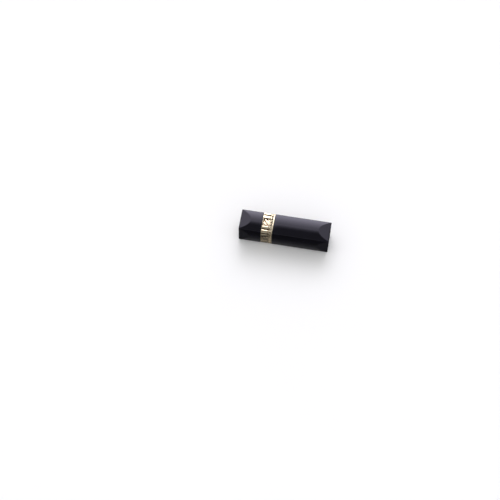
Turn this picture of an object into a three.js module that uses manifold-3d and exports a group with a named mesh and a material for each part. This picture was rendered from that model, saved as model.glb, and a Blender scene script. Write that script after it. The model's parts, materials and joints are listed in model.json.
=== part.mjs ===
// Twist-up lipstick case, lying on one of its four arched sides.
// Millimetres. +X runs along the case from the base end to the cap end, +Z is up.
// The origin is under the middle of the case, on the surface it lies on.
import * as THREE from 'three';
import { mergeVertices } from 'three/addons/utils/BufferGeometryUtils.js';
import Module from 'manifold-3d';

const wasm = await Module();
wasm.setup();

// Outer form: a square bar whose sides bulge, with a flat facet cut on each side at both ends
const caseLength = 80;
const squareWidth = 19.6;
const sideBulge = 1.1;
const crownFlat = 1.2;
const baseFacet = 9.2;
const capFacet = 10.1;
const cornerCut = 0.45;
const halfHeight = squareWidth / 2 + sideBulge;

// Lengths along the axis, measured from the base end
const baseEnd = 19.55;
const seamGap = 0.25;
const bandStart = baseEnd + seamGap;
const bandEnd = 29.8;
const capStart = bandEnd + seamGap;
const endWall = 1.5;

// Shell walls, as insets from the outer form
const shellWall = 1.4;
const linerInset = 1.55;
const bandWall = 0.8;
const coreInset = 0.95;
const endPocketHalf = 8.4;

// Twist mechanism: radii from the lipstick outwards
const roundSides = 48;
const bullet = { radius: 5.85, from: 11.4, to: 48, noseLength: 3.2, slantAngle: 48 };
const cup = { inner: 6.0, outer: 6.4, from: 10, floor: 1.2, length: 12 };
const body = { inner: 6.55, outer: 7.05, to: 48.2, footFrom: 6.9, footThick: 1.7, footHalf: 8.2 };
const bead = { outer: 7.5, from: 47.75 };
const cam = { inner: 7.2, outer: 7.7, from: 9.9, to: 47.6 };
const sleeve = { inner: 7.85, outer: 8.2, from: 21.1, to: 49, lip: 0.4, lipInner: 7.2 };
const lug = { radius: 0.85, reach: 7.6, at: 12.4 };
const rise = 24.5;
const slotSide = 0.2;
const insertBore = 7.95;
const coreStep = 20.9;
const sleeveSeat = 8.3;

// Cap liner, a round inner cap with a square flange at its mouth
const liner = {
  inner: 8.45, outer: 9.2, shoulder: 69.5, noseInner: 6.9, noseOuter: 7.6,
  noseInside: 76.5, noseEnd: 77.3, flange: 1.2, setBack: 0.3,
};
const grip = { count: 6, from: 34, length: 12, width: 0.8, stand: 0.15 };

// Base fittings
const weight = { from: 1.7, length: 5, half: 8.3, bore: 3 };
const label = { half: 6.4, recessHalf: 6.6, recessDepth: 0.6, thick: 0.3, sunk: 0.15 };
const brake = { section: 0.4, centreRadius: 7.5, at: 9.3 };

const finish = {
  lacquer: new THREE.MeshStandardMaterial({ color: 0x0c0b10, roughness: 0.12, metalness: 0 }),
  gold: new THREE.MeshStandardMaterial({ color: 0xd9bd7c, roughness: 0.28, metalness: 1 }),
  steel: new THREE.MeshStandardMaterial({ color: 0x9a9c9e, roughness: 0.4, metalness: 1 }),
  blackPlastic: new THREE.MeshStandardMaterial({ color: 0x17171a, roughness: 0.45, metalness: 0 }),
  whitePlastic: new THREE.MeshStandardMaterial({ color: 0xe6e4de, roughness: 0.5, metalness: 0 }),
  silicone: new THREE.MeshStandardMaterial({ color: 0x3a3a3d, roughness: 0.7, metalness: 0 }),
  lipstick: new THREE.MeshStandardMaterial({ color: 0x8e1020, roughness: 0.35, metalness: 0 }),
  labelPaper: new THREE.MeshStandardMaterial({ color: 0xc9b07a, roughness: 0.4, metalness: 0.6 }),
};

// Frames that turn a shape's extrusion axis, or a lathe's axis, onto +X
const extrudeToX = new THREE.Matrix4().makeBasis(
  new THREE.Vector3(0, 1, 0), new THREE.Vector3(0, 0, 1), new THREE.Vector3(1, 0, 0));
const latheToX = new THREE.Matrix4().makeBasis(
  new THREE.Vector3(0, 0, 1), new THREE.Vector3(1, 0, 0), new THREE.Vector3(0, 1, 0));

// Height of one side above its chord: flat over the crown, then a parabola down to the corner
function archHeight(across, half) {
  const off = Math.max(0, Math.abs(across) - crownFlat / 2) / (half - crownFlat / 2);
  return sideBulge * (1 - off * off);
}

// Closed outline of the bulged square, shrunk by an inset, with its four corners cut
function sectionOutline(inset) {
  const half = squareWidth / 2 - inset;
  const flankSteps = 4;
  const flankEnd = half - cornerCut;
  const across = [];
  for (let i = 0; i <= flankSteps; i += 1) {
    across.push(crownFlat / 2 + (flankEnd - crownFlat / 2) * (i / flankSteps));
  }
  const side = [...across.map((v) => -v).reverse(), ...across];
  const outline = [];
  for (let quarter = 0; quarter < 4; quarter += 1) {
    const turn = -quarter * Math.PI / 2;
    for (const v of side) {
      const point = new THREE.Vector2(v, half + archHeight(v, half));
      outline.push(point.rotateAround(new THREE.Vector2(), turn));
    }
    const corner = new THREE.Vector2(half - cornerCut / 4, half - cornerCut / 4);
    outline.push(corner.rotateAround(new THREE.Vector2(), turn));
  }
  return outline;
}

function extrudeAlong(outline, from, to) {
  const shape = new THREE.Shape(outline);
  const geometry = new THREE.ExtrudeGeometry(shape, { depth: to - from, bevelEnabled: false });
  return geometry.applyMatrix4(extrudeToX).translate(from, 0, 0);
}

// Solid of revolution about X from a closed outline of [along, radius] pairs
function turned(outline) {
  const points = outline.map(([along, radius]) => new THREE.Vector2(radius, along));
  if (THREE.ShapeUtils.isClockWise(points)) points.reverse();
  points.push(points[0].clone());
  return new THREE.LatheGeometry(points, roundSides).applyMatrix4(latheToX);
}

function rod(radius, from, to) {
  return turned([[from, 0], [from, radius], [to, radius], [to, 0]]);
}

function tube(inner, outer, from, to) {
  return turned([[from, inner], [from, outer], [to, outer], [to, inner]]);
}

function block(from, to, halfWidth, halfTall = halfWidth) {
  const geometry = new THREE.BoxGeometry(to - from, 2 * halfWidth, 2 * halfTall);
  return geometry.translate((from + to) / 2, 0, 0);
}

function toSolid(geometry) {
  geometry.deleteAttribute('normal');
  geometry.deleteAttribute('uv');
  const merged = mergeVertices(geometry);
  const vertProperties = new Float32Array(merged.attributes.position.array);
  const triVerts = new Uint32Array(merged.index.array);
  return new wasm.Manifold(new wasm.Mesh({ numProp: 3, vertProperties, triVerts }));
}

function toGeometry(solid) {
  const mesh = solid.getMesh();
  const geometry = new THREE.BufferGeometry();
  geometry.setAttribute('position', new THREE.BufferAttribute(mesh.vertProperties, 3));
  geometry.setIndex(new THREE.BufferAttribute(mesh.triVerts, 1));
  return geometry;
}

function joined(first, ...others) {
  return others.reduce((solid, other) => solid.add(toSolid(other)), toSolid(first));
}

function cutFrom(solid, ...tools) {
  return tools.reduce((left, tool) => left.subtract(toSolid(tool)), solid);
}

// Wedges above the four end facets; inward is +1 at the base end and -1 at the cap end
function facetCutters(endAt, inward, length) {
  const spare = 1;
  const slope = sideBulge / length;
  const clear = halfHeight + 3;
  const profile = new THREE.Shape([
    new THREE.Vector2(endAt - inward * spare, squareWidth / 2 - slope * spare),
    new THREE.Vector2(endAt + inward * (length + spare), halfHeight + slope * spare),
    new THREE.Vector2(endAt + inward * (length + spare), clear),
    new THREE.Vector2(endAt - inward * spare, clear),
  ]);
  const cutters = [];
  for (let quarter = 0; quarter < 4; quarter += 1) {
    const wedge = new THREE.ExtrudeGeometry(profile, { depth: 2 * clear, bevelEnabled: false });
    wedge.rotateX(Math.PI / 2).translate(0, clear, 0).rotateX(quarter * Math.PI / 2);
    cutters.push(wedge);
  }
  return cutters;
}

function baseShell() {
  const pocketEnd = baseFacet + 0.2;
  const outer = toSolid(extrudeAlong(sectionOutline(0), 0, baseEnd));
  return toGeometry(cutFrom(
    outer,
    ...facetCutters(0, 1, baseFacet),
    block(endWall, pocketEnd, endPocketHalf),
    extrudeAlong(sectionOutline(shellWall), pocketEnd - 0.2, baseEnd + 1),
    block(-1, label.recessDepth, label.recessHalf),
  ));
}

function shadeLabel() {
  return block(label.sunk, label.sunk + label.thick, label.half);
}

function baseWeight() {
  const slab = toSolid(block(weight.from, weight.from + weight.length, weight.half));
  return toGeometry(cutFrom(slab, rod(weight.bore, 0, baseEnd)));
}

function baseInsert() {
  const outer = toSolid(extrudeAlong(sectionOutline(linerInset), baseFacet + 0.1, baseEnd - 0.25));
  return toGeometry(cutFrom(outer, rod(insertBore, 0, baseEnd + 1)));
}

// Slotted tube on a square foot that cannot turn in the square base. The bead at its mouth
// snaps over the cam's end and holds the collar on.
function innerBody() {
  const footTop = body.footFrom + body.footThick;
  const solid = joined(
    rod(body.outer, footTop - 0.5, body.to),
    rod(bead.outer, bead.from, body.to),
    block(body.footFrom, footTop, body.footHalf),
  );
  const slotFrom = lug.at - lug.radius - slotSide;
  const slotTo = lug.at + rise + lug.radius + slotSide;
  return toGeometry(cutFrom(
    solid,
    rod(body.inner, body.footFrom + 1, body.to + 1),
    rod(body.inner / 2, 0, body.to),
    block(slotFrom, slotTo, body.outer + 1, lug.radius + slotSide),
  ));
}

function brakeRing() {
  const outline = [];
  const steps = 10;
  for (let i = 0; i < steps; i += 1) {
    const angle = 2 * Math.PI * i / steps;
    outline.push([
      brake.at + brake.section * Math.cos(angle),
      brake.centreRadius + brake.section * Math.sin(angle),
    ]);
  }
  return turned(outline);
}

// Bar with a square section wound round X, one turn for the full rise, starting at an angle about X.
// It winds backwards as it climbs, so turning the cam forwards lifts the lugs.
function helicalBar(startAngle, width, inner, outer) {
  const steps = 36;
  const middle = (inner + outer) / 2;
  const pitchAngle = Math.atan2(rise, 2 * Math.PI * middle);
  const along = Math.cos(pitchAngle) * width / 2;
  const around = Math.sin(pitchAngle) * width / 2 / middle;
  const run = width / 2 / rise;
  const positions = [];
  for (let i = 0; i <= steps; i += 1) {
    const turnShare = -run + (1 + 2 * run) * (i / steps);
    const angle = startAngle - 2 * Math.PI * turnShare;
    const at = lug.at + rise * turnShare;
    for (const [side, radius] of [[-1, inner], [1, inner], [1, outer], [-1, outer]]) {
      const swung = angle + side * around;
      positions.push(at + side * along, radius * Math.cos(swung), radius * Math.sin(swung));
    }
  }
  const index = [0, 1, 2, 0, 2, 3];
  for (let i = 0; i < steps; i += 1) {
    for (let k = 0; k < 4; k += 1) {
      const a = 4 * i + k;
      const b = 4 * i + (k + 1) % 4;
      index.push(a, a + 4, b, b, a + 4, b + 4);
    }
  }
  const last = 4 * steps;
  index.push(last, last + 2, last + 1, last, last + 3, last + 2);
  const geometry = new THREE.BufferGeometry();
  geometry.setAttribute('position', new THREE.BufferAttribute(new Float32Array(positions), 3));
  geometry.setIndex(index);
  return geometry;
}

function spiralCam() {
  const width = 2 * (lug.radius + slotSide);
  const wall = toSolid(tube(cam.inner, cam.outer, cam.from, cam.to));
  return toGeometry(cutFrom(
    wall,
    helicalBar(0, width, cam.inner - 0.4, cam.outer + 0.4),
    helicalBar(Math.PI, width, cam.inner - 0.4, cam.outer + 0.4),
  ));
}

function metalSleeve() {
  return turned([
    [sleeve.from, sleeve.inner], [sleeve.from, sleeve.outer],
    [sleeve.to - sleeve.lip, sleeve.outer], [sleeve.to, sleeve.outer - sleeve.lip / 2],
    [sleeve.to, sleeve.lipInner], [sleeve.to - sleeve.lip, sleeve.lipInner],
    [sleeve.to - sleeve.lip, sleeve.inner],
  ]);
}

function collarBand() {
  const outer = toSolid(extrudeAlong(sectionOutline(0), bandStart, bandEnd));
  return toGeometry(cutFrom(outer, extrudeAlong(sectionOutline(bandWall), bandStart - 1, bandEnd + 1)));
}

function collarCore() {
  const outer = toSolid(extrudeAlong(sectionOutline(coreInset), bandStart + 0.15, bandEnd - 0.15));
  return toGeometry(cutFrom(
    outer,
    rod(insertBore, 0, caseLength),
    rod(sleeveSeat, coreStep, caseLength),
  ));
}

function carrierCup() {
  const wall = [
    [cup.from, 0], [cup.from, cup.outer], [cup.from + cup.length, cup.outer],
    [cup.from + cup.length, cup.inner], [cup.from + cup.floor, cup.inner], [cup.from + cup.floor, 0],
  ];
  const parts = [turned(wall)];
  for (const side of [-1, 1]) {
    const pin = new THREE.CylinderGeometry(lug.radius, lug.radius, lug.reach - cup.inner - 0.1, 16);
    pin.translate(lug.at, side * (lug.reach + cup.inner + 0.1) / 2, 0);
    parts.push(pin);
  }
  return toGeometry(joined(...parts));
}

// Cylinder with a domed nose, cut across at a slant as a moulded lipstick is
function lipstickBullet() {
  const outline = [[bullet.from, 0], [bullet.from, bullet.radius]];
  const shoulder = bullet.to - bullet.noseLength;
  const steps = 5;
  for (let i = 0; i < steps; i += 1) {
    const angle = (Math.PI / 2) * (i / steps);
    outline.push([shoulder + bullet.noseLength * Math.sin(angle), bullet.radius * Math.cos(angle)]);
  }
  outline.push([bullet.to, 0]);
  const slant = THREE.MathUtils.degToRad(bullet.slantAngle);
  const cutter = new THREE.BoxGeometry(60, 30, 60);
  cutter.translate(0, 0, 30).rotateY(slant).translate(bullet.to - 1.6, 0, -1.2);
  return toGeometry(cutFrom(toSolid(turned(outline)), cutter));
}

function capShell() {
  const pocketFrom = caseLength - capFacet - 0.2;
  const outer = toSolid(extrudeAlong(sectionOutline(0), capStart, caseLength));
  return toGeometry(cutFrom(
    outer,
    ...facetCutters(caseLength, -1, capFacet),
    extrudeAlong(sectionOutline(shellWall), capStart - 1, pocketFrom + 0.2),
    block(pocketFrom, caseLength - endWall, endPocketHalf),
  ));
}

function capLiner() {
  const mouth = capStart + liner.setBack;
  const outer = turned([
    [mouth, 0], [mouth, liner.outer], [liner.shoulder, liner.outer],
    [liner.shoulder, liner.noseOuter], [liner.noseEnd, liner.noseOuter], [liner.noseEnd, 0],
  ]);
  const flange = extrudeAlong(sectionOutline(linerInset), mouth, mouth + liner.flange);
  const inside = turned([
    [mouth - 1, 0], [mouth - 1, liner.inner], [liner.shoulder - 0.8, liner.inner],
    [liner.shoulder - 0.8, liner.noseInner], [liner.noseInside, liner.noseInner], [liner.noseInside, 0],
  ]);
  const hollow = cutFrom(joined(outer, flange), inside);
  const ribs = [];
  for (let i = 0; i < grip.count; i += 1) {
    const rib = new THREE.BoxGeometry(grip.length, grip.width, 2 * grip.stand);
    rib.translate(grip.from + grip.length / 2, 0, liner.inner).rotateX(2 * Math.PI * i / grip.count);
    ribs.push(rib);
  }
  return toGeometry(ribs.reduce((solid, rib) => solid.add(toSolid(rib)), hollow));
}

function addMesh(group, name, geometry, material) {
  const mesh = new THREE.Mesh(geometry, material);
  mesh.name = name;
  group.add(mesh);
}

const base = new THREE.Group();
addMesh(base, 'base_shell', baseShell(), finish.lacquer);
addMesh(base, 'shade_label', shadeLabel(), finish.labelPaper);
addMesh(base, 'base_weight', baseWeight(), finish.steel);
addMesh(base, 'base_insert', baseInsert(), finish.blackPlastic);
addMesh(base, 'inner_body', innerBody(), finish.whitePlastic);
addMesh(base, 'brake_ring', brakeRing(), finish.silicone);

const collar = new THREE.Group();
addMesh(collar, 'collar_band', collarBand(), finish.gold);
addMesh(collar, 'collar_core', collarCore(), finish.blackPlastic);
addMesh(collar, 'a_shell', metalSleeve(), finish.gold);
addMesh(collar, 'spiral_cam', spiralCam(), finish.blackPlastic);

const carrier = new THREE.Group();
addMesh(carrier, 'carrier_cup', carrierCup(), finish.whitePlastic);
addMesh(carrier, 'lipstick_bullet', lipstickBullet(), finish.lipstick);

const cap = new THREE.Group();
addMesh(cap, 'cap_shell', capShell(), finish.lacquer);
addMesh(cap, 'cap_liner', capLiner(), finish.blackPlastic);

const lipstickCase = new THREE.Group();
lipstickCase.add(base, collar, carrier, cap);
lipstickCase.position.set(-caseLength / 2, 0, halfHeight);

export default lipstickCase;
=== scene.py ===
import json
import math
import bpy
import numpy as np
from mathutils import Matrix, Vector


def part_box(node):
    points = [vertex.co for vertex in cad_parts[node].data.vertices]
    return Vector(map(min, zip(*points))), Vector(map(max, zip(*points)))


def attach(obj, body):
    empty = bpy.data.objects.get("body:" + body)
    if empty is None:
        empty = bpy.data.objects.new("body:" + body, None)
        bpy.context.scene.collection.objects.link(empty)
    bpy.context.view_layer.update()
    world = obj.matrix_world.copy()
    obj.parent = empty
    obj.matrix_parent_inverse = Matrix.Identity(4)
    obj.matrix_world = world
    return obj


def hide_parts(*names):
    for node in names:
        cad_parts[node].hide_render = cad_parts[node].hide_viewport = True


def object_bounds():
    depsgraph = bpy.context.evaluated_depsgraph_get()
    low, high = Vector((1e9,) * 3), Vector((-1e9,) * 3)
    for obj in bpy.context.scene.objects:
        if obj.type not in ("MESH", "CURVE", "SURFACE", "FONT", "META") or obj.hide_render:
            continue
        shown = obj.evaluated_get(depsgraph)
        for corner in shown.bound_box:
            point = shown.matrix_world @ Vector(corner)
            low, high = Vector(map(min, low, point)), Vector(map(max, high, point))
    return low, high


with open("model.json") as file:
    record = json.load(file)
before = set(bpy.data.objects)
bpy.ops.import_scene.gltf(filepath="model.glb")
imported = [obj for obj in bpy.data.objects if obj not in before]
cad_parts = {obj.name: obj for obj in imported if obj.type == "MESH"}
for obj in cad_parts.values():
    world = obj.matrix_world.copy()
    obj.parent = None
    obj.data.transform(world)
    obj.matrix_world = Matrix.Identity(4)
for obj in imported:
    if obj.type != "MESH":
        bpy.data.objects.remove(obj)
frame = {"nodes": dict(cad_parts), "record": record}
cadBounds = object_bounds()
print("frame loaded")

# Everything below works in millimetres measured from the base end and the case's axis
mm = 0.001
lowCorner, highCorner = (np.array(c) / mm for c in cadBounds)
halfHeight = (highCorner[2] - lowCorner[2]) / 2
baseEndX = lowCorner[0]
axisZ = lowCorner[2] + halfHeight


# span of a CAD node along the case, from the base end
def span(node):
    low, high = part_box(node)
    return low[0] / mm - baseEndX, high[0] / mm - baseEndX


# half size of a CAD node across the case
def halfAcross(node):
    low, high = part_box(node)
    return (high[1] - low[1]) / mm / 2


# ---- camera and studio ----
cameraSetup = {
    "azimuth": 9.85, "elevation": 62.0, "distance": 1.0166, "aimRight": -0.0310, "aimUp": -0.01709,
    "lens": 82.35, "sensor": 36.0, "near": 0.01,
}


def placeCamera(s):
    turn, tilt = math.radians(s["azimuth"]), math.radians(s["elevation"])
    back = Vector((math.sin(turn) * math.cos(tilt), -math.cos(turn) * math.cos(tilt), math.sin(tilt)))
    right = Vector((math.cos(turn), math.sin(turn), 0.0))
    up = back.cross(right)
    middle = Vector((0, 0, axisZ * mm))
    camera = bpy.data.objects.new("camera", bpy.data.cameras.new("camera"))
    camera.data.lens = s["lens"]
    camera.data.sensor_width = s["sensor"]
    camera.data.clip_start = s["near"]
    place = middle + back * s["distance"] + right * s["aimRight"] + up * s["aimUp"]
    turnTo = Matrix((right, up, back)).transposed().to_4x4()
    camera.matrix_world = Matrix.Translation(place) @ turnTo
    bpy.context.scene.collection.objects.link(camera)
    bpy.context.scene.camera = camera


placeCamera(cameraSetup)
bpy.context.scene.view_settings.view_transform = "Standard"


# adds a node, sets its settings, and links or sets its inputs
def addNode(tree, kind, inputs=None, **settings):
    made = tree.nodes.new(kind)
    for name, value in settings.items():
        setattr(made, name, value)
    for key, value in (inputs or {}).items():
        if isinstance(value, bpy.types.NodeSocket):
            tree.links.new(value, made.inputs[key])
        else:
            made.inputs[key].default_value = value
    return made


def mathNode(tree, operation, *values):
    return addNode(tree, "ShaderNodeMath", dict(enumerate(values)), operation=operation).outputs[0]


# value from one range onto another, held at the ends
def remap(tree, value, fromLow, fromHigh, toLow, toHigh, smooth=False):
    return addNode(tree, "ShaderNodeMapRange", {
        "Value": value, "From Min": fromLow, "From Max": fromHigh, "To Min": toLow, "To Max": toHigh,
    }, interpolation_type="SMOOTHSTEP" if smooth else "LINEAR").outputs["Result"]


# A soft box stands behind the case: brightest low down, soft at its top edge, fading to both sides.
# The room is dark above a paler horizon, and a little paler again overhead. Matt surfaces get an
# even fill besides. The soft box isn't seen in a second reflection, so the floor mirrors the room.
studio = {
    "boxLow": (0.30, 0.50), "boxTop": (0.862, 0.957), "boxDepth": (0.0, 0.2), "boxRayDepth": 2.5,
    "boxMiddle": -0.09, "boxSide": (0.05, 0.60), "boxAt": (0.62, 0.91), "boxLight": (5.1, 1.2),
    "horizon": 1.1, "horizonTop": 0.52, "room": 0.08, "zenithAt": (0.80, 0.985), "zenith": 0.15,
    "fill": 0.62, "tint": (0.955, 0.94, 1.0, 1.0), "backdrop": (0.9, 0.9, 0.9, 1.0),
}


def buildStudio(s):
    world = bpy.data.worlds.new("studio")
    bpy.context.scene.world = world
    world.use_nodes = True
    tree = world.node_tree
    tree.nodes.clear()
    direction = addNode(tree, "ShaderNodeTexCoord").outputs["Generated"]
    parts = addNode(tree, "ShaderNodeSeparateXYZ", {0: direction}).outputs
    side, depth, height = parts["X"], parts["Y"], parts["Z"]
    path = addNode(tree, "ShaderNodeLightPath").outputs
    offMiddle = mathNode(tree, "ABSOLUTE", mathNode(tree, "SUBTRACT", side, s["boxMiddle"]))
    masks = [
        remap(tree, height, *s["boxLow"], 0, 1, True), remap(tree, height, *s["boxTop"], 1, 0, True),
        remap(tree, offMiddle, *s["boxSide"], 1, 0, True), remap(tree, depth, *s["boxDepth"], 0, 1, True),
    ]
    box = remap(tree, height, *s["boxAt"], *s["boxLight"])
    masks.append(mathNode(tree, "LESS_THAN", path["Ray Depth"], s["boxRayDepth"]))
    for mask in masks:
        box = mathNode(tree, "MULTIPLY", box, mask)
    room = mathNode(
        tree, "ADD", remap(tree, height, 0.0, s["horizonTop"], s["horizon"], s["room"], True),
        remap(tree, height, *s["zenithAt"], 0.0, s["zenith"], True))
    fill = mathNode(tree, "MULTIPLY", path["Is Diffuse Ray"], s["fill"])
    softBox = addNode(tree, "ShaderNodeBackground", {"Color": s["tint"], "Strength": box})
    walls = addNode(tree, "ShaderNodeBackground", {
        "Color": (1, 1, 1, 1), "Strength": mathNode(tree, "ADD", room, fill)})
    light = addNode(tree, "ShaderNodeAddShader", {0: softBox.outputs[0], 1: walls.outputs[0]})
    plain = addNode(tree, "ShaderNodeBackground", {"Color": s["backdrop"], "Strength": 1.0})
    mixed = addNode(tree, "ShaderNodeMixShader", {
        0: path["Is Camera Ray"], 1: light.outputs[0], 2: plain.outputs[0]})
    out = addNode(tree, "ShaderNodeOutputWorld")
    tree.links.new(mixed.outputs[0], out.inputs["Surface"])


buildStudio(studio)
print("camera and studio ready")


# ---- shader groups ----
def newGroup(name, inputs, outputs):
    group = bpy.data.node_groups.new(name, "ShaderNodeTree")
    for label, kind, value in inputs:
        socket = group.interface.new_socket(label, in_out="INPUT", socket_type=kind)
        socket.default_value = value
    for label, kind in outputs:
        group.interface.new_socket(label, in_out="OUTPUT", socket_type=kind)
    return group, group.nodes.new("NodeGroupInput").outputs, group.nodes.new("NodeGroupOutput").inputs


smudgeForm = {"detail": 4.0, "roughness": 0.6, "lift": 0.6, "fade": 0.4}


# cloudy handling marks: a low noise, lifted by the cover, pushed to soft patches
def makeSmudges(s):
    group, given, result = newGroup(
        "smudges", [("Scale", "NodeSocketFloat", 120.0), ("Cover", "NodeSocketFloat", 0.5)],
        [("Mask", "NodeSocketFloat")])
    where = addNode(group, "ShaderNodeTexCoord").outputs["Object"]
    cloud = addNode(group, "ShaderNodeTexNoise", {
        "Vector": where, "Scale": given["Scale"], "Detail": s["detail"],
        "Roughness": s["roughness"]}).outputs["Fac"]
    bareShare = mathNode(group, "SUBTRACT", 1.0, given["Cover"])
    lifted = mathNode(group, "SUBTRACT", cloud, mathNode(group, "MULTIPLY", bareShare, s["lift"]))
    group.links.new(remap(group, lifted, 0.0, s["fade"], 0.0, 1.0, True), result["Mask"])
    return group


# moulding or casting grain: fine noise
def makeGrain():
    group, given, result = newGroup(
        "grain", [("Scale", "NodeSocketFloat", 2000.0)], [("Value", "NodeSocketFloat")])
    where = addNode(group, "ShaderNodeTexCoord").outputs["Object"]
    fine = addNode(group, "ShaderNodeTexNoise", {
        "Vector": where, "Scale": given["Scale"], "Detail": 3.0, "Roughness": 0.55}).outputs["Fac"]
    group.links.new(fine, result["Value"])
    return group


hairForm = {"turns": ((0.2, 0.14, 0.35), (0.2, -0.36, -0.9)), "stretch": (0.03, 1.0, 1.0),
            "detail": 1.0, "peak": (0.70, 0.74)}


# Hairline scratches: noise stretched along the case, turned two ways, and kept only where it peaks
def makeHairlines(s):
    group, given, result = newGroup(
        "hairlines", [("Scale", "NodeSocketFloat", 900.0), ("Amount", "NodeSocketFloat", 0.3)],
        [("Mask", "NodeSocketFloat")])
    where = addNode(group, "ShaderNodeTexCoord").outputs["Object"]
    masks = []
    for turn in s["turns"]:
        laid = addNode(group, "ShaderNodeMapping", {
            "Vector": where, "Rotation": turn, "Scale": s["stretch"]}).outputs[0]
        lines = addNode(group, "ShaderNodeTexNoise", {
            "Vector": laid, "Scale": given["Scale"], "Detail": s["detail"]}).outputs["Fac"]
        masks.append(remap(group, lines, *s["peak"], 0.0, 1.0))
    both = mathNode(group, "MAXIMUM", *masks)
    group.links.new(mathNode(group, "MULTIPLY", both, given["Amount"]), result["Mask"])
    return group


# lathe lines: noise that changes only along the case
def makeTurningLines():
    group, given, result = newGroup(
        "turningLines", [("Scale", "NodeSocketFloat", 6000.0)], [("Value", "NodeSocketFloat")])
    where = addNode(group, "ShaderNodeTexCoord").outputs["Object"]
    along = addNode(group, "ShaderNodeSeparateXYZ", {0: where}).outputs["X"]
    fine = addNode(group, "ShaderNodeTexNoise", {
        "W": mathNode(group, "MULTIPLY", along, given["Scale"]), "Scale": 1.0, "Detail": 3.0,
    }, noise_dimensions="1D").outputs["Fac"]
    group.links.new(fine, result["Value"])
    return group


smudges, grain = makeSmudges(smudgeForm), makeGrain()
hairlines, turningLines = makeHairlines(hairForm), makeTurningLines()


# a shader group placed in a material with its own values
def placed(tree, group, inputs):
    made = tree.nodes.new("ShaderNodeGroup")
    made.node_tree = group
    for key, value in inputs.items():
        made.inputs[key].default_value = value
    return made.outputs


# ---- materials ----
def newMaterial(name, constants):
    material = bpy.data.materials.new(name)
    material.use_nodes = True
    tree = material.node_tree
    shader = next(n for n in tree.nodes if n.type == "BSDF_PRINCIPLED")
    for key, value in constants.items():
        shader.inputs[key].default_value = value
    return material, tree, shader.inputs


def mixColours(tree, factor, first, second):
    return addNode(tree, "ShaderNodeMix", {
        "Factor": factor, 6: first, 7: second}, data_type="RGBA").outputs[2]


def bump(tree, height, strength, distance):
    return addNode(tree, "ShaderNodeBump", {
        "Height": height, "Strength": strength, "Distance": distance}).outputs["Normal"]


# base value plus each value times its weight
def weighted(tree, base, *pairs):
    total = base
    for value, weight in pairs:
        total = mathNode(tree, "ADD", total, mathNode(tree, "MULTIPLY", value, weight))
    return total


def setSurface(tree, surface, colour, rough, normal):
    tree.links.new(colour, surface["Base Color"])
    tree.links.new(rough, surface["Roughness"])
    tree.links.new(normal, surface["Normal"])


# In each look, bump is a strength and a depth in metres
lacquerLook = {
    "black": (0.0008, 0.0007, 0.0026, 1), "worn": (0.0016, 0.0014, 0.0044, 1),
    "tint": (0.85, 0.82, 0.98, 1), "roughness": 0.055, "markRough": 0.05, "hairRough": 0.12,
    "marks": {"Scale": 95.0, "Cover": 0.55}, "hairs": {"Scale": 1500.0, "Amount": 0.5},
    "peel": {"Scale": 420.0}, "bump": (0.035, 0.0002),
}


# gloss black with the shallow waves of a moulded, lacquered surface, smudged and finely scratched
def lacquerMaterial(s):
    material, tree, surface = newMaterial("blackLacquer", {"IOR": 1.5, "Specular Tint": s["tint"]})
    marks = placed(tree, smudges, s["marks"])["Mask"]
    hairs = placed(tree, hairlines, s["hairs"])["Mask"]
    peel = placed(tree, grain, s["peel"])["Value"]
    rough = weighted(tree, s["roughness"], (marks, s["markRough"]), (hairs, s["hairRough"]))
    setSurface(tree, surface, mixColours(tree, marks, s["black"], s["worn"]), rough,
               bump(tree, peel, *s["bump"]))
    return material


# high is the pale colour of the raised relief: plate worn through, and a painted highlight.
goldLook = {
    # low is near-black brown for the deepest relief: tarnish, and painted shade in the recesses.
    "high": (0.96, 0.85, 0.62, 1), "middle": (0.96, 0.70, 0.44, 1), "low": (0.035, 0.016, 0.009, 1),
    "highRough": 0.2, "lowRough": 0.45, "markRough": 0.06, "patinaAndShade": (0.05, 0.54), "bareAndHighlight": (0.35, 0.85),
    "cast": {"Scale": 3200.0}, "castShift": 0.16, "marks": {"Scale": 260.0, "Cover": 0.5},
    "markShift": -0.06, "bump": (0.2, 0.00006),
}


# Plated relief: pale on its raised parts, as plate worn through and as a painted highlight, warm on its
# flanks, and brown and dull where it lies deep, as tarnish and as painted shade in the recesses.
# Its height comes from the piece's relief attribute.
def reliefGold(s):
    material, tree, surface = newMaterial("reliefGold", {"Metallic": 1.0})
    stand = addNode(tree, "ShaderNodeAttribute", attribute_name="relief").outputs["Fac"]
    cast = placed(tree, grain, s["cast"])["Value"]
    marks = placed(tree, smudges, s["marks"])["Mask"]
    ragged = weighted(tree, stand, (cast, s["castShift"]), (marks, s["markShift"]))
    # The deep relief turns to low: tarnish, and painted shade in the recesses.
    clearOfPatinaAndShade = remap(tree, ragged, *s["patinaAndShade"], 0.0, 1.0, True)
    # The raised relief turns to high: plate worn through, and a painted highlight.
    rubbedAndHighlit = remap(tree, ragged, *s["bareAndHighlight"], 0.0, 1.0, True)
    flank = mixColours(tree, clearOfPatinaAndShade, s["low"], s["middle"])
    dull = remap(tree, clearOfPatinaAndShade, 0, 1, s["lowRough"], s["highRough"])
    setSurface(tree, surface, mixColours(tree, rubbedAndHighlit, flank, s["high"]),
               weighted(tree, dull, (marks, s["markRough"])), bump(tree, cast, *s["bump"]))
    return material


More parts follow.
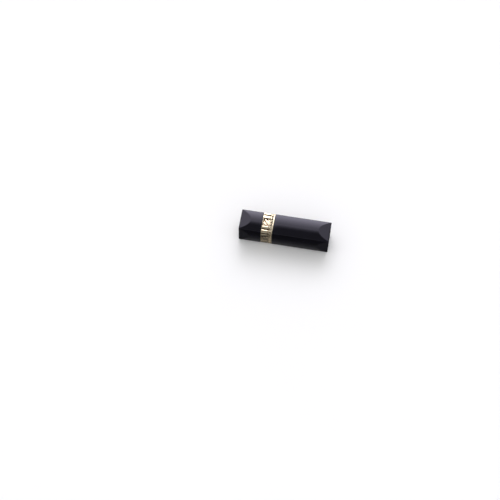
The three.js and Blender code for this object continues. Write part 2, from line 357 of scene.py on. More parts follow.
# Plain finishes, by material slot: a tone turning to another where it is marked, over a fine
# texture. rough is the base value, the texture's weight and the marks' weight.
plainLooks = {
    "gold_sleeve": {
        "name": "sleeveGold", "constants": {"Metallic": 1.0},
        "tone": (0.84, 0.68, 0.42, 1), "marked": (0.78, 0.60, 0.34, 1), "rough": (0.12, 0.08, 0.07),
        "texture": turningLines, "fine": 9000.0, "marks": {"Scale": 140.0, "Cover": 0.45},
        "bump": (0.12, 0.00003)},
    "weight_steel": {
        "name": "millSteel", "constants": {"Metallic": 1.0},
        "tone": (0.50, 0.50, 0.51, 1), "marked": (0.36, 0.35, 0.35, 1), "rough": (0.25, 0.2, 0.15),
        "texture": grain, "fine": 1400.0, "marks": {"Scale": 200.0, "Cover": 0.6},
        "bump": (0.2, 0.00005)},
    "black_plastic": {
        "name": "satinBlack", "constants": {"IOR": 1.46},
        "tone": (0.018, 0.018, 0.020, 1), "marked": (0.010, 0.010, 0.011, 1), "rough": (0.32, 0.12, 0.08),
        "texture": grain, "fine": 2600.0, "marks": {"Scale": 150.0, "Cover": 0.5},
        "bump": (0.22, 0.00005)},
    "white_plastic": {
        "name": "naturalPlastic", "constants": {"IOR": 1.46},
        "tone": (0.80, 0.79, 0.74, 1), "marked": (0.70, 0.68, 0.62, 1), "rough": (0.36, 0.12, 0.08),
        "texture": grain, "fine": 1800.0, "marks": {"Scale": 150.0, "Cover": 0.5},
        "bump": (0.15, 0.00005)},
    "silicone": {
        "name": "silicone", "constants": {"IOR": 1.46},
        "tone": (0.06, 0.06, 0.065, 1), "marked": (0.035, 0.035, 0.038, 1), "rough": (0.64, 0.12, 0.08),
        "texture": grain, "fine": 3000.0, "marks": {"Scale": 150.0, "Cover": 0.5},
        "bump": (0.3, 0.00005)},
    "lipstick_wax": {
        "name": "redWax", "constants": {"IOR": 1.45, "Specular IOR Level": 0.45},
        "tone": (0.36, 0.008, 0.022, 1), "marked": (0.42, 0.020, 0.034, 1), "rough": (0.22, 0.10, 0.10),
        "texture": grain, "fine": 900.0, "marks": {"Scale": 170.0, "Cover": 0.5},
        "bump": (0.10, 0.00010)},
}


def plainMaterial(s):
    material, tree, surface = newMaterial(s["name"], s["constants"])
    fine = placed(tree, s["texture"], {"Scale": s["fine"]})["Value"]
    marks = placed(tree, smudges, s["marks"])["Mask"]
    base, fineWeight, markWeight = s["rough"]
    rough = weighted(tree, base, (fine, fineWeight), (marks, markWeight))
    setSurface(tree, surface, mixColours(tree, marks, s["tone"], s["marked"]), rough,
               bump(tree, fine, *s["bump"]))
    return material


foilLook = {
    "foil": (0.62, 0.50, 0.29, 1), "line": (0.10, 0.08, 0.05, 1), "frameHalf": 5.4, "frameWidth": 0.16,
    "fine": {"Scale": 2200.0}, "roughness": 0.26, "fineRough": 0.15, "bump": (0.2, 0.00004),
}


# blank foil label with one thin square line printed round it, at a distance from the end's middle
def foilMaterial(s):
    material, tree, surface = newMaterial("labelFoil", {"Metallic": 0.75})
    where = addNode(tree, "ShaderNodeTexCoord").outputs["Object"]
    parts = addNode(tree, "ShaderNodeSeparateXYZ", {0: where}).outputs
    across = mathNode(tree, "ABSOLUTE", parts["Y"])
    tall = mathNode(tree, "ABSOLUTE", mathNode(tree, "SUBTRACT", parts["Z"], axisZ * mm))
    reach = mathNode(tree, "MAXIMUM", across, tall)
    off = mathNode(tree, "ABSOLUTE", mathNode(tree, "SUBTRACT", reach, s["frameHalf"] * mm))
    line = remap(tree, off, s["frameWidth"] * mm / 2, s["frameWidth"] * mm, 1.0, 0.0)
    fine = placed(tree, grain, s["fine"])["Value"]
    setSurface(tree, surface, mixColours(tree, line, s["foil"], s["line"]),
               weighted(tree, s["roughness"], (fine, s["fineRough"])), bump(tree, fine, *s["bump"]))
    return material


floorLook = {
    "tone": (0.93, 0.93, 0.93, 1), "faint": (0.915, 0.915, 0.915, 1), "mirror": (0.78, 0.78, 0.80, 1),
    "mirrorRough": 0.05, "cloud": {"Scale": 4.0, "Cover": 0.5}, "size": 3.0,
}


# Pale matt floor. In the gloss of the things on it, it shows as the mirror of a display tray.
def floorMaterial(s):
    material, tree, surface = newMaterial("paleFloor", {"Roughness": 0.5, "IOR": 1.3})
    cloud = placed(tree, smudges, s["cloud"])["Mask"]
    tree.links.new(mixColours(tree, cloud, s["tone"], s["faint"]), surface["Base Color"])
    matt = next(n for n in tree.nodes if n.type == "BSDF_PRINCIPLED").outputs[0]
    mirror = addNode(tree, "ShaderNodeBsdfAnisotropic", {
        "Color": s["mirror"], "Roughness": s["mirrorRough"]}).outputs[0]
    seen = addNode(tree, "ShaderNodeLightPath").outputs["Is Glossy Ray"]
    mixed = addNode(tree, "ShaderNodeMixShader", {0: seen, 1: matt, 2: mirror}).outputs[0]
    out = next(n for n in tree.nodes if n.type == "OUTPUT_MATERIAL")
    tree.links.new(mixed, out.inputs["Surface"])
    return material


materials = {slot: plainMaterial(look) for slot, look in plainLooks.items()}
materials["black_lacquer"] = lacquerMaterial(lacquerLook)
materials["gold_band"] = reliefGold(goldLook)
materials["label_foil"] = foilMaterial(foilLook)
print("materials ready")


# ---- floor ----
def buildFloor(s):
    half = s["size"] / 2
    mesh = bpy.data.meshes.new("floor")
    corners = [(-half, -half, 0), (half, -half, 0), (half, half, 0), (-half, half, 0)]
    mesh.from_pydata(corners, [], [(0, 1, 2, 3)])
    mesh.materials.append(floorMaterial(s))
    floor = bpy.data.objects.new("floor", mesh)
    bpy.context.scene.collection.objects.link(floor)


buildFloor(floorLook)


# ---- surfaces ----
# six times the volume inside quads and triangles, positive when the faces point out
def signedVolume(points, quads, tris):
    halves = [quads[:, [0, 1, 2]], quads[:, [0, 2, 3]]] if len(quads) else []
    corners = points[np.concatenate(halves + ([tris] if len(tris) else []))]
    return np.einsum("ij,ij->i", corners[:, 0], np.cross(corners[:, 1], corners[:, 2])).sum()


# puts points, in millimetres from the base end and the axis, and faces into a piece on a body
def finishPiece(name, points, quads, tris, body, slotName, node=None, sharp=32.0, attribute=None):
    if signedVolume(points, quads, tris) < 0:
        quads, tris = quads[:, ::-1], tris[:, ::-1]
    placedPoints = (points + np.array([baseEndX, 0.0, axisZ])) * mm
    mesh = bpy.data.meshes.new(name)
    mesh.from_pydata(placedPoints.tolist(), [], quads.tolist() + tris.tolist())
    mesh.polygons.foreach_set("use_smooth", np.ones(len(mesh.polygons), dtype=bool))
    if attribute is not None:
        label, values = attribute
        stored = mesh.attributes.new(label, "FLOAT", "POINT")
        stored.data.foreach_set("value", values.astype(np.float32))
    mesh.set_sharp_from_angle(angle=math.radians(sharp))
    mesh.update()
    mesh.materials.append(materials[slotName])
    piece = bpy.data.objects.new(name, mesh)
    bpy.context.scene.collection.objects.link(piece)
    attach(piece, body)
    if node:
        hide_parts(node)
    return piece


# Faces over a stack of closed rings: each ring joins the next. The first and last rings meet in
# a pole each, or, as a loop, they join each other.
def ringFaces(rings, loop=False):
    rows, cols = rings.shape[:2]
    index = np.arange(rows * cols).reshape(rows, cols)
    turned = np.roll(index, -1, axis=1)
    ahead, aheadTurned = np.roll(index, -1, axis=0), np.roll(turned, -1, axis=0)
    last = rows if loop else rows - 1
    quads = np.stack([index, turned, aheadTurned, ahead], -1)[:last].reshape(-1, 4)
    points = rings.reshape(-1, 3)
    if loop:
        return points, quads, np.zeros((0, 3), int)
    poles = np.array([rings[0].mean(0), rings[-1].mean(0)])
    firstPole, lastPole = len(points), len(points) + 1
    startFan = np.stack([turned[0], index[0], np.full(cols, firstPole)], -1)
    endFan = np.stack([index[-1], turned[-1], np.full(cols, lastPole)], -1)
    return np.concatenate([points, poles]), quads, np.concatenate([startFan, endFan])


# Rings of a solid of revolution: each profile pair is a place along the case and a radius
def turnedRings(profile, count=144):
    along, radius = np.array(profile, float).T[:, :, None]
    angle = np.linspace(0, 2 * np.pi, count, endpoint=False)
    across, tall = radius * np.cos(angle), radius * np.sin(angle)
    return np.stack([np.broadcast_to(along, across.shape), across, tall], -1)


# points of an arc in the profile plane, angles in degrees from the case's direction
def arc(along, radius, size, start, end, steps=6):
    angle = np.radians(np.linspace(start, end, steps))
    return [(along + size * math.cos(a), radius + size * math.sin(a)) for a in angle]


# share of a flat end's size at which its last ring lies before the pole
poleRing = 0.5


# ---- the case's section ----
caseForm = {
    "bulge": 1.1, "crownFlat": 1.2, "cornerCut": 0.45, "creaseSoft": 0.014, "creaseLeast": 0.5,
    "endRound": 0.25, "mouthRound": 0.12, "mouthBevel": 0.1, "wall": 1.4,
}
squareHalf = halfHeight - caseForm["bulge"]


# Places round the section: each quarter has side columns from corner to corner, then corner
# columns on the rounded edge
def sectionColumns(sideCount, cornerCount):
    side = np.linspace(-1, 1, sideCount)
    corner = np.linspace(0, 1, cornerCount + 2)[1:-1]
    w = np.concatenate([side, np.ones(cornerCount)])
    c = np.concatenate([np.zeros(sideCount), corner])
    quarter = np.repeat(np.arange(4), len(w))
    return {"side": np.tile(w, 4), "corner": np.tile(c, 4), "quarter": quarter,
            "isCorner": np.tile(c > 0, 4)}


# height of the arch over its chord: flat on the crown, then a parabola down to the corner
def archLift(across, half):
    off = np.maximum(np.abs(across) - caseForm["crownFlat"] / 2, 0) / (half - caseForm["crownFlat"] / 2)
    return caseForm["bulge"] * (1 - off ** 2)


# the smaller of two heights, with the crease between them rounded over a small band
def softMin(a, b, soft):
    return np.minimum(a, b) - np.maximum(soft - np.abs(a - b), 0) ** 2 / (4 * soft)


# One ring of the section: the square's half less the inset, plus the arch, held under a ceiling, the
# height of the flat end facet there. Corners are parabolic arcs between sides.
def sectionRing(columns, along, inset=0.0, swell=1.0, ceiling=None):
    half = squareHalf - inset
    flank = half - caseForm["cornerCut"]
    across = columns["side"] * flank
    lift = archLift(across, half) * swell
    if ceiling is not None:
        lift = softMin(lift, ceiling, caseForm["creaseSoft"])
    out = half + lift
    c = columns["corner"]
    a = np.where(columns["isCorner"], (1 - c) ** 2 * flank + 2 * c * (1 - c) * half + c ** 2 * out, across)
    b = np.where(columns["isCorner"], (1 - c) ** 2 * out + 2 * c * (1 - c) * half + c ** 2 * flank, out)
    quarter = columns["quarter"]
    y = np.choose(quarter, [a, b, -a, -b])
    z = np.choose(quarter, [b, -a, -b, a])
    along = np.broadcast_to(along, np.broadcast_shapes(np.shape(along), y.shape))
    return np.stack([along, y, z], -1)


# ring of a circle with its points at the same angles as the section's columns
def roundRing(columns, along, radius):
    spoke = sectionRing(columns, 0.0)
    size = np.hypot(spoke[:, 1], spoke[:, 2])
    y, z = spoke[:, 1] / size * radius, spoke[:, 2] / size * radius
    return np.stack([np.broadcast_to(along, y.shape), y, z], -1)


# square ring with the section's small corners and no arch
def squareRing(columns, along, half):
    return sectionRing(columns, along, squareHalf - half, 0.0)


# How far each column's crease lies from the end: a parabola that is longest on the crown
def creaseReach(columns, facet):
    flank = squareHalf - caseForm["cornerCut"]
    share = archLift(columns["side"] * flank, squareHalf) / caseForm["bulge"]
    return caseForm["creaseLeast"] + (facet - caseForm["creaseLeast"]) * share


# Where a shell's rings lie: turns on its round edges, shares of the crease's reach on the end facet
# and just past the crease, a count along the sides and one inside. columns, here and below, are
# counts for a side and a corner.
shellRings = {
    "columns": (61, 7), "endTurns": 6, "mouthTurns": 5, "sides": 10, "hollow": 5,
    "facet": (0.12, 0.3, 0.5, 0.7, 0.85, 0.93, 0.965, 0.985, 0.995, 1.0),
    "past": (1.005, 1.015, 1.035, 1.07, 1.15),
}


# Outside of a black shell from its closed end to its mouth: round end edge, end facets, creases,
# arched sides, round mouth edge. The facet's height grows in a line with the distance from the end.
def shellOutside(columns, length, facet):
    endRound, mouthRound = caseForm["endRound"], caseForm["mouthRound"]
    crease = creaseReach(columns, facet)
    rings = []

    def addRing(along, inset=0.0):
        rings.append(sectionRing(columns, along, inset, 1.0, along * caseForm["bulge"] / facet))

    for turn in np.radians(np.linspace(0, 90, shellRings["endTurns"])):
        addRing(endRound * (1 - math.cos(turn)), endRound * (1 - math.sin(turn)))
    for share in shellRings["facet"]:
        addRing(endRound + (crease - endRound) * share)
    for share in shellRings["past"]:
        addRing(crease * share)
    start = crease * shellRings["past"][-1]
    for share in np.linspace(0, 1, shellRings["sides"])[1:]:
        addRing(start + (length - mouthRound - start) * share)
    for turn in np.radians(np.linspace(0, 90, shellRings["mouthTurns"]))[1:]:
        addRing(length - mouthRound * (1 - math.sin(turn)), mouthRound * (1 - math.cos(turn)))
    return rings


# the hollow behind the mouth: bevel, arched wall, step, square pocket
def shellInside(columns, length, s):
    wall, bevel = caseForm["wall"], caseForm["mouthBevel"]
    rings = [sectionRing(columns, length, wall - bevel)]
    for along in np.linspace(length - bevel, s["facet"], shellRings["hollow"]):
        rings.append(sectionRing(columns, along, wall))
    rings.append(squareRing(columns, s["facet"], s["pocketHalf"]))
    rings.append(squareRing(columns, s["pocketFloor"], s["pocketHalf"]))
    rings.append(squareRing(columns, s["pocketFloor"], s["pocketHalf"] * poleRing))
    return rings


shellColumns = sectionColumns(*shellRings["columns"])
baseShell = {"facet": 9.2, "pocketHalf": 8.4, "pocketFloor": 1.5, "recessHalf": 6.6, "recessDepth": 0.6,
             "recessRound": 0.06}


def buildBaseShell(s):
    length = span("base_shell")[1]
    cols, soft = shellColumns, s["recessRound"]
    rings = [
        squareRing(cols, s["recessDepth"], s["recessHalf"] * poleRing),
        squareRing(cols, s["recessDepth"], s["recessHalf"]),
        squareRing(cols, soft, s["recessHalf"]),
        squareRing(cols, 0.0, s["recessHalf"] + soft),
    ]
    rings += shellOutside(cols, length, s["facet"])
    rings += shellInside(cols, length, s)
    finishPiece("baseShell", *ringFaces(np.stack(rings)), "base", "black_lacquer", "base_shell")


capShell = {"facet": 10.1, "pocketHalf": 8.4, "pocketFloor": 1.5, "endShares": (0.35, 0.7)}


def buildCapShell(s):
    low, high = span("cap_shell")
    length = high - low
    rings = [squareRing(shellColumns, 0.0, squareHalf * share) for share in s["endShares"]]
    rings += shellOutside(shellColumns, length, s["facet"])
    rings += shellInside(shellColumns, length, s)
    rings = np.stack(rings)
    rings[..., 0] = high - rings[..., 0]
    finishPiece("capShell", *ringFaces(rings), "cap", "black_lacquer", "cap_shell")


# ---- collar band with its relief ----
# Figures repeat on each side. Places are (v, a): v runs along the side from its middle, a runs
# across the band from the base to the cap. bar and cornerRidge are (distance from the corner, half),
# a leaf is (start, end, half), a bead (v, a, half). tops are heights from 0, the ground, to 1.
band = {
    "columns": (191, 9), "step": 0.1, "wall": 0.8, "depth": 0.32, "rim": 0.38,
    "cornerRidge": (1.0, 0.95), "bar": (4.45, 1.4), "barFlat": 0.6, "split": (6.25, 0.25),
    "splitDepth": 0.8, "divider": (7.1, 0.24), "trench": ((2.0, 1.0), (-2.8, 5.1), 0.4),
    "plateEdge": 1.5, "plateGap": 0.35, "plateFrom": 1.0,
    "leaves": (((2.9, 1.9), (-3.3, 6.7), 1.15), ((-0.7, 0.7), (-3.4, 4.2), 0.8),
               ((2.9, 4.9), (0.3, 6.9), 0.75)),
    "beads": ((1.7, 1.0, 0.45), (-2.9, 1.1, 0.4)),
    "holes": (8.16, 4.9, 1.633), "holeAcross": 8.15, "holeRadius": 0.44, "pierce": 1.2,
    "ringHalf": 0.34, "lobe": 1.0, "lobeLeast": 0.15, "lobeFlat": 0.8, "toothPitch": 1.633,
    "tops": {"bar": 0.97, "plate": 0.5, "leaf": 0.95, "bead": 0.85, "divider": 0.9, "ring": 0.95,
             "lobe": 0.9, "mouth": 0.8},
}


# 1 inside a shape and 0 outside, with a soft edge
def inside(distance, edge=0.2):
    t = np.clip(0.5 - distance / edge, 0, 1)
    return t * t * (3 - 2 * t)


# rounded ridge: a half circle's height over its half width
def ridge(distance, half):
    return np.sqrt(np.clip(1 - (distance / half) ** 2, 0, 1))


# distance from points to the stretch between two places
def toStretch(v, a, start, end):
    (sv, sa), (ev, ea) = start, end
    size = (ev - sv) ** 2 + (ea - sa) ** 2
    share = np.clip(((v - sv) * (ev - sv) + (a - sa) * (ea - sa)) / size, 0, 1)
    return np.hypot(v - sv - share * (ev - sv), a - sa - share * (ea - sa))


leafForm = {"taper": 0.7, "least": 0.01, "flat": 0.5, "midrib": 0.1, "midribDepth": 0.3}


# Leaf between two points: a ridge whose width grows and shrinks as half a sine wave along its
# spine, with a midrib cut down its middle
def leafHeight(v, a, start, end, half):
    (sv, sa), (ev, ea) = start, end
    length = math.hypot(ev - sv, ea - sa)
    alongSpine = ((v - sv) * (ev - sv) + (a - sa) * (ea - sa)) / length
    offSpine = ((a - sa) * (ev - sv) - (v - sv) * (ea - sa)) / length
    share = np.clip(alongSpine / length, 0, 1)
    width = np.maximum(half * np.sin(np.pi * share) ** leafForm["taper"], leafForm["least"])
    blade = ridge(offSpine, width) ** leafForm["flat"] * inside(-alongSpine, edge=0.1)
    return blade - leafForm["midribDepth"] * inside(np.abs(offSpine) - leafForm["midrib"])


# Height of the main figures: a half-round ridge beside each corner and a broad bar next to it, both
# split near the cap side, and between the bars a low plate with a trench, leaves and beads
def mainFigures(v, a, s):
    fromCorner, tops = squareHalf - np.abs(v), s["tops"]
    (cornerAt, cornerHalf), (barAt, barHalf) = s["cornerRidge"], s["bar"]
    (splitAt, splitHalf), dividerAt = s["split"], s["divider"][0]
    barEnd = barAt + barHalf
    uncut = 1 - s["splitDepth"] * inside(np.abs(a - splitAt) - splitHalf)
    figures = [tops["bar"] * uncut * ridge(fromCorner - cornerAt, cornerHalf),
               tops["bar"] * uncut * ridge(fromCorner - barAt, barHalf) ** s["barFlat"]]
    trenchFrom, trenchTo, trenchHalf = s["trench"]
    trench = inside(toStretch(v, a, trenchFrom, trenchTo) - trenchHalf, edge=0.5)
    plate = inside(v - s["plateEdge"], edge=1.0) * inside(s["plateFrom"] - a, edge=0.6)
    plate = plate * inside(barEnd + s["plateGap"] - fromCorner, edge=0.4)
    figures.append(tops["plate"] * (1 - trench) * plate)
    between = inside(barEnd - fromCorner, edge=0.1) * inside(a - dividerAt)
    for start, end, half in s["leaves"]:
        figures.append(tops["leaf"] * leafHeight(v, a, start, end, half) * between)
    for atV, atA, size in s["beads"]:
        figures.append(tops["bead"] * ridge(np.hypot(v - atV, a - atA), size) * between)
    return [figure * inside(a - dividerAt, edge=0.1) for figure in figures]


# Height of the ornament from 0, the ground, to 1, flush with the case: the main figures, then a
# pierced border on the cap side with a round divider, rings about its holes and lobes between them
def reliefHeight(v, a, width, s):
    figures, tops = mainFigures(v, a, s), s["tops"]
    dividerAt, dividerHalf = s["divider"]
    figures.append(tops["divider"] * ridge(a - dividerAt, dividerHalf))
    fromHoles = np.minimum.reduce([np.hypot(np.abs(v) - at, a - s["holeAcross"]) for at in s["holes"]])
    figures.append(tops["ring"] * ridge(fromHoles - s["holeRadius"] - s["ringHalf"], s["ringHalf"]))
    tooth = np.abs((v / s["toothPitch"]) % 1 - 0.5) * 2
    lobe = ridge(a - width + s["rim"], s["lobeLeast"] + s["lobe"] * tooth)
    figures.append(tops["lobe"] * lobe ** s["lobeFlat"])
    height = np.maximum.reduce(np.broadcast_arrays(*figures))
    height = height - s["pierce"] * inside(fromHoles - s["holeRadius"], edge=0.25)
    plainRims = np.maximum(inside(a - s["rim"]), inside(width - s["rim"] - a))
    return np.maximum(height, plainRims)


def buildCollarBand(s):
    low, high = span("collar_band")
    width = high - low
    cols = sectionColumns(*s["columns"])
    cut = caseForm["cornerCut"]
    onCorner = squareHalf - cut * np.abs(2 * cols["corner"] - 1)
    v = np.where(cols["isCorner"], onCorner, cols["side"] * (squareHalf - cut))[None, :]
    across = np.linspace(0, width, int(width / s["step"]))[:, None]
    height = reliefHeight(v, across, width, s)
    height[[0, -1], :] = s["tops"]["mouth"]
    outer = sectionRing(cols, low + across, s["depth"] * (1 - height))
    inner = np.stack([sectionRing(cols, along, s["wall"]) for along in (high, (low + high) / 2, low)])
    rings = np.concatenate([outer, inner])
    stand = np.concatenate([height, np.zeros((len(inner), height.shape[1]))])
    finishPiece("collarBand", *ringFaces(rings, loop=True), "collar", "gold_band", "collar_band",
                sharp=60.0, attribute=("relief", np.clip(stand, 0, 1).reshape(-1)))


# ---- collar core ----
core = {"columns": (41, 5), "inset": 0.95, "bore": 7.95, "seat": 8.3, "step": 20.9, "edge": 0.15}


def buildCollarCore(s):
    low, high = span("collar_core")
    cols, edge = sectionColumns(*s["columns"]), s["edge"]
    rings = [
        sectionRing(cols, low + edge, s["inset"]), sectionRing(cols, high - edge, s["inset"]),
        sectionRing(cols, high, s["inset"] + edge), roundRing(cols, high, s["seat"] + edge),
        roundRing(cols, high - edge, s["seat"]), roundRing(cols, s["step"], s["seat"]),
        roundRing(cols, s["step"], s["bore"]), roundRing(cols, low + edge, s["bore"]),
        roundRing(cols, low, s["bore"] + edge), sectionRing(cols, low, s["inset"] + edge),
    ]
    finishPiece("collarCore", *ringFaces(np.stack(rings), loop=True), "collar", "black_plastic",
                "collar_core")


# ---- metal sleeve ----
sleeve = {"wall": 0.35, "edge": 0.05, "lipInner": 7.2, "lip": 0.4, "lipRound": 0.15, "lipFrom": 1.2,
          "grooves": 2, "grooveAt": 33.2, "grooveGap": 0.9, "grooveHalf": 0.14, "groove": 0.07,
          "grooveFlank": 0.8}


def buildSleeve(s):
    low, high = span("a_shell")
    outer = halfAcross("a_shell")
    inner, lip, edge, lipRound = outer - s["wall"], s["lip"], s["edge"], s["lipRound"]
    profile = [(low, inner + edge), (low, outer - edge), (low + edge, outer)]
    flank, half = outer - s["groove"] * s["grooveFlank"], s["grooveHalf"]
    for k in range(s["grooves"]):
        at = s["grooveAt"] + k * s["grooveGap"]
        profile += [(at - half, outer), (at - half / 2, flank), (at, outer - s["groove"]),
                    (at + half / 2, flank), (at + half, outer)]
    profile += [(high - lip - s["lipFrom"], outer)]
    profile += arc(high - lip, outer - lip, lip, 90, 0)
    profile += arc(high - lipRound, s["lipInner"] + lipRound, lipRound, 0, -90, steps=4)
    profile += [(high - lip, s["lipInner"]), (high - lip, inner), (low + edge, inner)]
    finishPiece("aShell", *ringFaces(turnedRings(profile), loop=True), "collar", "gold_sleeve",
                "a_shell", sharp=40)


# ---- slotted tubes ----
# A tube with slots left out of its wall. Cells of a grid of angles and stations are kept or open;
# each kept cell has an outer and an inner face, and each edge between kept and open is walled. The
# radii may change from station to station. The grid can lean round the tube as it goes along,
# which makes the slots helical.
def slottedTube(angles, stations, opened, inner, outer, lean=0.0):
    rows, cols = len(stations), len(angles)
    turn = angles[None, :] - lean * (stations[:, None] - stations[0])
    along = np.broadcast_to(stations[:, None], turn.shape)
    points = np.concatenate([
        np.stack([along, radius * np.cos(turn), radius * np.sin(turn)], -1).reshape(-1, 3)
        for radius in (outer, inner)])
    index = np.arange(rows * cols).reshape(rows, cols)
    right, inward = np.roll(index, -1, axis=1), rows * cols
    kept = ~opened
    cell = [index[:-1][kept], right[:-1][kept], right[1:][kept], index[1:][kept]]
    faces = [np.stack(cell, -1), np.stack(cell[::-1], -1) + inward]
    before = np.roll(kept, 1, axis=1)
    for mask, flip in ((kept & ~before, False), (~kept & before, True)):
        lowEnd, highEnd = index[:-1][mask], index[1:][mask]
        wall = np.stack([lowEnd, highEnd, highEnd + inward, lowEnd + inward], -1)
        faces.append(wall[:, ::-1] if flip else wall)
    padded = np.vstack([np.zeros((1, cols), bool), kept, np.zeros((1, cols), bool)])
    for mask, flip in ((padded[1:] & ~padded[:-1], True), (~padded[1:] & padded[:-1], False)):
        first, second = index[mask], right[mask]
        wall = np.stack([first, second, second + inward, first + inward], -1)
        faces.append(wall[:, ::-1] if flip else wall)
    used, quads = np.unique(np.concatenate(faces), return_inverse=True)
    return points[used], quads.reshape(-1, 4), np.zeros((0, 3), int)


# evenly spaced values with some exact ones added
def gridWith(low, high, count, exact):
    return np.unique(np.round(np.concatenate([np.linspace(low, high, count), exact]), 6))


# angles round a tube, with the edges of two opposite slots among them
def slottedAngles(half, count=128):
    edges = [half, np.pi - half, np.pi + half, 2 * np.pi - half]
    return gridWith(0, 2 * np.pi * (1 - 1 / count), count, edges)


# which cells two opposite slots leave open
def slotMask(angles, stations, halfAngle, slotFrom, slotTo):
    midAngle = angles + np.diff(np.append(angles, 2 * np.pi)) / 2
    offSlot = np.abs((midAngle + np.pi / 2) % np.pi - np.pi / 2)
    midStation = (stations[1:] + stations[:-1]) / 2
    return (offSlot < halfAngle)[None, :] & ((midStation > slotFrom) & (midStation < slotTo))[:, None]


innerBody = {"inner": 6.55, "outer": 7.05, "slotHalf": 1.05, "slotFrom": 11.35, "slotTo": 37.95,
             "beadOuter": 7.5, "beadLong": 0.45, "footHalf": 8.2, "footThick": 1.7, "footFloor": 1.0,
             "footBore": 3.3, "footCorner": 1.36, "stations": 40, "step": 0.03}


# slotted tube on a square foot, with a bead at its mouth
def buildInnerBody(s):
    low, high = span("inner_body")
    half = math.asin(s["slotHalf"] / s["outer"])
    angles, step = slottedAngles(half), s["step"]
    floorTop, footTop, beadFrom = low + s["footFloor"], low + s["footThick"], high - s["beadLong"]
    exact = [floorTop - step, floorTop, footTop - step, footTop, s["slotFrom"], s["slotTo"],
             beadFrom - step, beadFrom, high - 2 * step]
    stations = gridWith(low, high, s["stations"], exact)
    along = stations[:, None]
    squareReach = s["footHalf"] / np.maximum(np.abs(np.cos(angles)), np.abs(np.sin(angles)))
    footReach = np.minimum(squareReach, s["footHalf"] * s["footCorner"])[None, :]
    bead = np.where(along > high - step, s["beadOuter"] - 2 * step, s["beadOuter"])
    outer = np.where(along > beadFrom - step / 2, bead, s["outer"])
    outer = np.where(along < footTop - step / 2, footReach, outer)
    inner = np.where(along < floorTop - step / 2, s["footBore"], s["inner"])
    mask = slotMask(angles, stations, half, s["slotFrom"], s["slotTo"])
    finishPiece("innerBody", *slottedTube(angles, stations, mask, inner, outer), "base", "white_plastic",
                "inner_body")


spiral = {"inner": 7.2, "outer": 7.7, "slotHalf": 1.05, "lugAt": 12.4, "rise": 24.5, "stations": 120}


# Tube with two slots that climb one turn over the rise. Round the tube, a slot's half angle is its
# half width over the sine of its pitch, over the outer radius.
def buildSpiralCam(s):
    low, high = span("spiral_cam")
    pitch = math.atan2(s["rise"], np.pi * (s["inner"] + s["outer"]))
    half = s["slotHalf"] / math.sin(pitch) / s["outer"]
    lean = 2 * np.pi / s["rise"]
    angles = slottedAngles(half)
    slotFrom, slotTo = s["lugAt"] - s["slotHalf"], s["lugAt"] + s["rise"] + s["slotHalf"]
    stations = gridWith(low, high, s["stations"], [slotFrom, slotTo])
    mask = slotMask(angles, stations, half, slotFrom, slotTo)
    turned = angles + lean * (s["lugAt"] - low)
    finishPiece("spiralCam", *slottedTube(turned, stations, mask, s["inner"], s["outer"], lean),
                "collar", "black_plastic", "spiral_cam")


# ---- carrier and lipstick ----
cup = {"inner": 6.0, "outer": 6.4, "floor": 1.2, "edge": 0.12, "poleRadius": 2.0, "lugRadius": 0.85,
       "lugReach": 7.6, "lugAt": 12.4, "lugGap": 0.02, "lugEdge": 0.15, "lugColumns": 32}


def buildCarrier(s):
    low, high = span("carrier_cup")
    edge, floorAt = s["edge"], low + s["floor"]
    profile = [(low, s["poleRadius"]), (low, s["outer"] - edge), (low + edge, s["outer"]),
               (high - edge, s["outer"]), (high, s["outer"] - edge), (high, s["inner"] + edge),
               (high - edge, s["inner"]), (floorAt, s["inner"]), (floorAt, s["poleRadius"])]
    finishPiece("carrierCup", *ringFaces(turnedRings(profile)), "carrier", "white_plastic", "carrier_cup")
    reach, start, radius = s["lugReach"], s["outer"] + s["lugGap"], s["lugRadius"]
    pinProfile = [(start, radius * poleRing), (start, radius), (reach - s["lugEdge"], radius),
                  (reach, radius - s["lugEdge"]), (reach, radius * poleRing)]
    pin = turnedRings(pinProfile, s["lugColumns"])
    for side, label in ((1, "Right"), (-1, "Left")):
        turned = np.stack([s["lugAt"] + pin[..., 1], side * pin[..., 0], pin[..., 2]], -1)
        finishPiece("carrierLug" + label, *ringFaces(turned), "carrier", "white_plastic")


bullet = {"radius": 5.85, "foot": 0.1, "rimRound": 0.55, "rimDrop": 0.35, "rimAt": 0.995, "nose": 3.2,
          "slant": 48.0, "cutBack": 1.6, "cutDrop": -1.2, "soft": 0.35, "belowMouth": 1.0,
          "columns": 160, "sideRows": 14, "rimRows": 7, "tipRows": 26}


# Height of the moulded tip over the disc: the lower of a domed nose and a slanted plane, with the
# edge between them rounded
def tipHeight(reach, angle, high, s):
    share = reach / s["radius"]
    dome = high - s["nose"] * (1 - np.sqrt(np.clip(1 - share ** 2, 0, 1)))
    slope = 1 / math.tan(math.radians(s["slant"]))
    plane = high - s["cutBack"] - slope * (reach * np.sin(angle) - s["cutDrop"])
    return softMin(dome, plane, s["soft"])


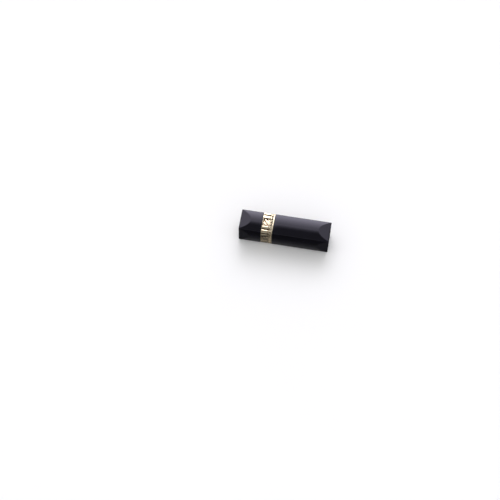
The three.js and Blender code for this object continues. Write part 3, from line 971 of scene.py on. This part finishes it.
# Wax stick from its foot in the cup up: straight side, round rim that follows the tip's height, tip
def buildBullet(s):
    low = span("lipstick_bullet")[0]
    high = span("a_shell")[1] - s["belowMouth"]
    angle = np.linspace(0, 2 * np.pi, s["columns"], endpoint=False)
    radius, foot = s["radius"], s["foot"]
    rows = []

    def addRow(along, reach):
        along, reach = np.broadcast_to(along, angle.shape), np.broadcast_to(reach, angle.shape)
        rows.append(np.stack([along, reach * np.cos(angle), reach * np.sin(angle)], -1))

    addRow(low, radius * poleRing)
    addRow(low, radius - foot)
    addRow(low + foot, radius)
    rimHeight = tipHeight(radius * s["rimAt"], angle, high, s) - s["rimDrop"]
    for share in np.linspace(0, 1, s["sideRows"])[1:]:
        addRow(low + foot + (rimHeight - low - foot) * share, radius)
    for turn in np.radians(np.linspace(0, 90, s["rimRows"]))[1:]:
        reach = radius - s["rimRound"] * (1 - math.cos(turn)) / 2
        top = tipHeight(reach, angle, high, s)
        addRow(rimHeight + (top - rimHeight) * math.sin(turn), reach)
    for share in np.linspace(1, 0, s["tipRows"])[1:-1]:
        reach = (radius - s["rimRound"] / 2) * share
        addRow(tipHeight(reach, angle, high, s), reach)
    finishPiece("lipstickBullet", *ringFaces(np.stack(rows)), "carrier", "lipstick_wax",
                "lipstick_bullet", sharp=70)


# ---- cap liner ----
liner = {"columns": (61, 5), "inner": 8.45, "outer": 9.2, "shoulder": 69.5, "shoulderThick": 0.8,
         "noseInner": 6.9, "noseOuter": 7.6, "noseInside": 76.5, "flange": 1.2, "inset": 1.55,
         "edge": 0.15, "ribs": 6, "ribFrom": 34.0, "ribTo": 46.0, "ribFade": 0.4, "ribStand": 0.15,
         "ribHalf": 0.4, "ribEdge": 0.3}


# Closed sleeve with a flange behind the cap's mouth and a narrower nose. Low ribs inside it grip
# the metal sleeve; each stands inwards where the distance round from its middle is small.
def buildCapLiner(s):
    low, high = span("cap_liner")
    cols, edge, back = sectionColumns(*s["columns"]), s["edge"], low + s["flange"]
    inner, outer, shoulder = s["inner"], s["outer"], s["shoulder"]
    shoulderInside, fade = shoulder - s["shoulderThick"], s["ribFade"]

    def ribbed(along):
        spoke = sectionRing(cols, 0.0)
        angle = np.arctan2(spoke[:, 1], spoke[:, 2])
        step = 2 * np.pi / s["ribs"]
        off = np.abs((angle + step / 2) % step - step / 2) * inner
        return roundRing(cols, along, inner - s["ribStand"] * inside(off - s["ribHalf"], s["ribEdge"]))

    rings = [
        roundRing(cols, s["noseInside"], s["noseInner"] * poleRing),
        roundRing(cols, s["noseInside"], s["noseInner"]),
        roundRing(cols, shoulderInside, s["noseInner"]), roundRing(cols, shoulderInside, inner),
        roundRing(cols, s["ribTo"] + fade, inner), ribbed(s["ribTo"]), ribbed(s["ribFrom"]),
        roundRing(cols, s["ribFrom"] - fade, inner), roundRing(cols, low + edge, inner),
        roundRing(cols, low, inner + edge), sectionRing(cols, low, s["inset"] + edge),
        sectionRing(cols, low + edge, s["inset"]), sectionRing(cols, back, s["inset"]),
        roundRing(cols, back, outer), roundRing(cols, shoulder - edge, outer),
        roundRing(cols, shoulder, outer - edge), roundRing(cols, shoulder, s["noseOuter"]),
        roundRing(cols, high - edge, s["noseOuter"]), roundRing(cols, high, s["noseOuter"] - edge),
        roundRing(cols, high, s["noseOuter"] * poleRing),
    ]
    finishPiece("capLiner", *ringFaces(np.stack(rings)), "cap", "black_plastic", "cap_liner")


# ---- base fittings ----
shadeLabel = {"columns": (21, 5), "edge": 0.06}


def buildLabel(s):
    low, high = span("shade_label")
    half, edge = halfAcross("shade_label"), s["edge"]
    cols = sectionColumns(*s["columns"])
    rings = [squareRing(cols, low, half * poleRing), squareRing(cols, low, half - edge),
             squareRing(cols, low + edge, half), squareRing(cols, high, half),
             squareRing(cols, high, half * poleRing)]
    finishPiece("shadeLabel", *ringFaces(np.stack(rings)), "base", "label_foil", "shade_label")


brake = {"columns": 24}


def buildBrakeRing(s):
    low, high = span("brake_ring")
    section = (high - low) / 2
    centre = halfAcross("brake_ring") - section
    lastTurn = 360 * (1 - 1 / s["columns"])
    profile = arc((low + high) / 2, centre, section, 0, lastTurn, s["columns"])
    finishPiece("brakeRing", *ringFaces(turnedRings(profile), loop=True), "base", "silicone",
                "brake_ring", sharp=80)


buildBaseShell(baseShell)
buildCapShell(capShell)
print("black shells ready")
buildCollarBand(band)
buildCollarCore(core)
buildSleeve(sleeve)
print("collar ready")
buildInnerBody(innerBody)
buildSpiralCam(spiral)
buildCarrier(cup)
buildBullet(bullet)
print("mechanism and lipstick ready")
buildCapLiner(liner)
buildLabel(shadeLabel)
buildBrakeRing(brake)


# CAD nodes that keep their own shape get their finish
def dressNodes():
    slots = {part["node"]: part["material_slot"] for part in frame["record"]["subparts"]}
    for name in ("base_weight", "base_insert"):
        mesh = frame["nodes"][name].data
        mesh.materials.clear()
        mesh.materials.append(materials[slots[name]])


dressNodes()
print("fittings ready")
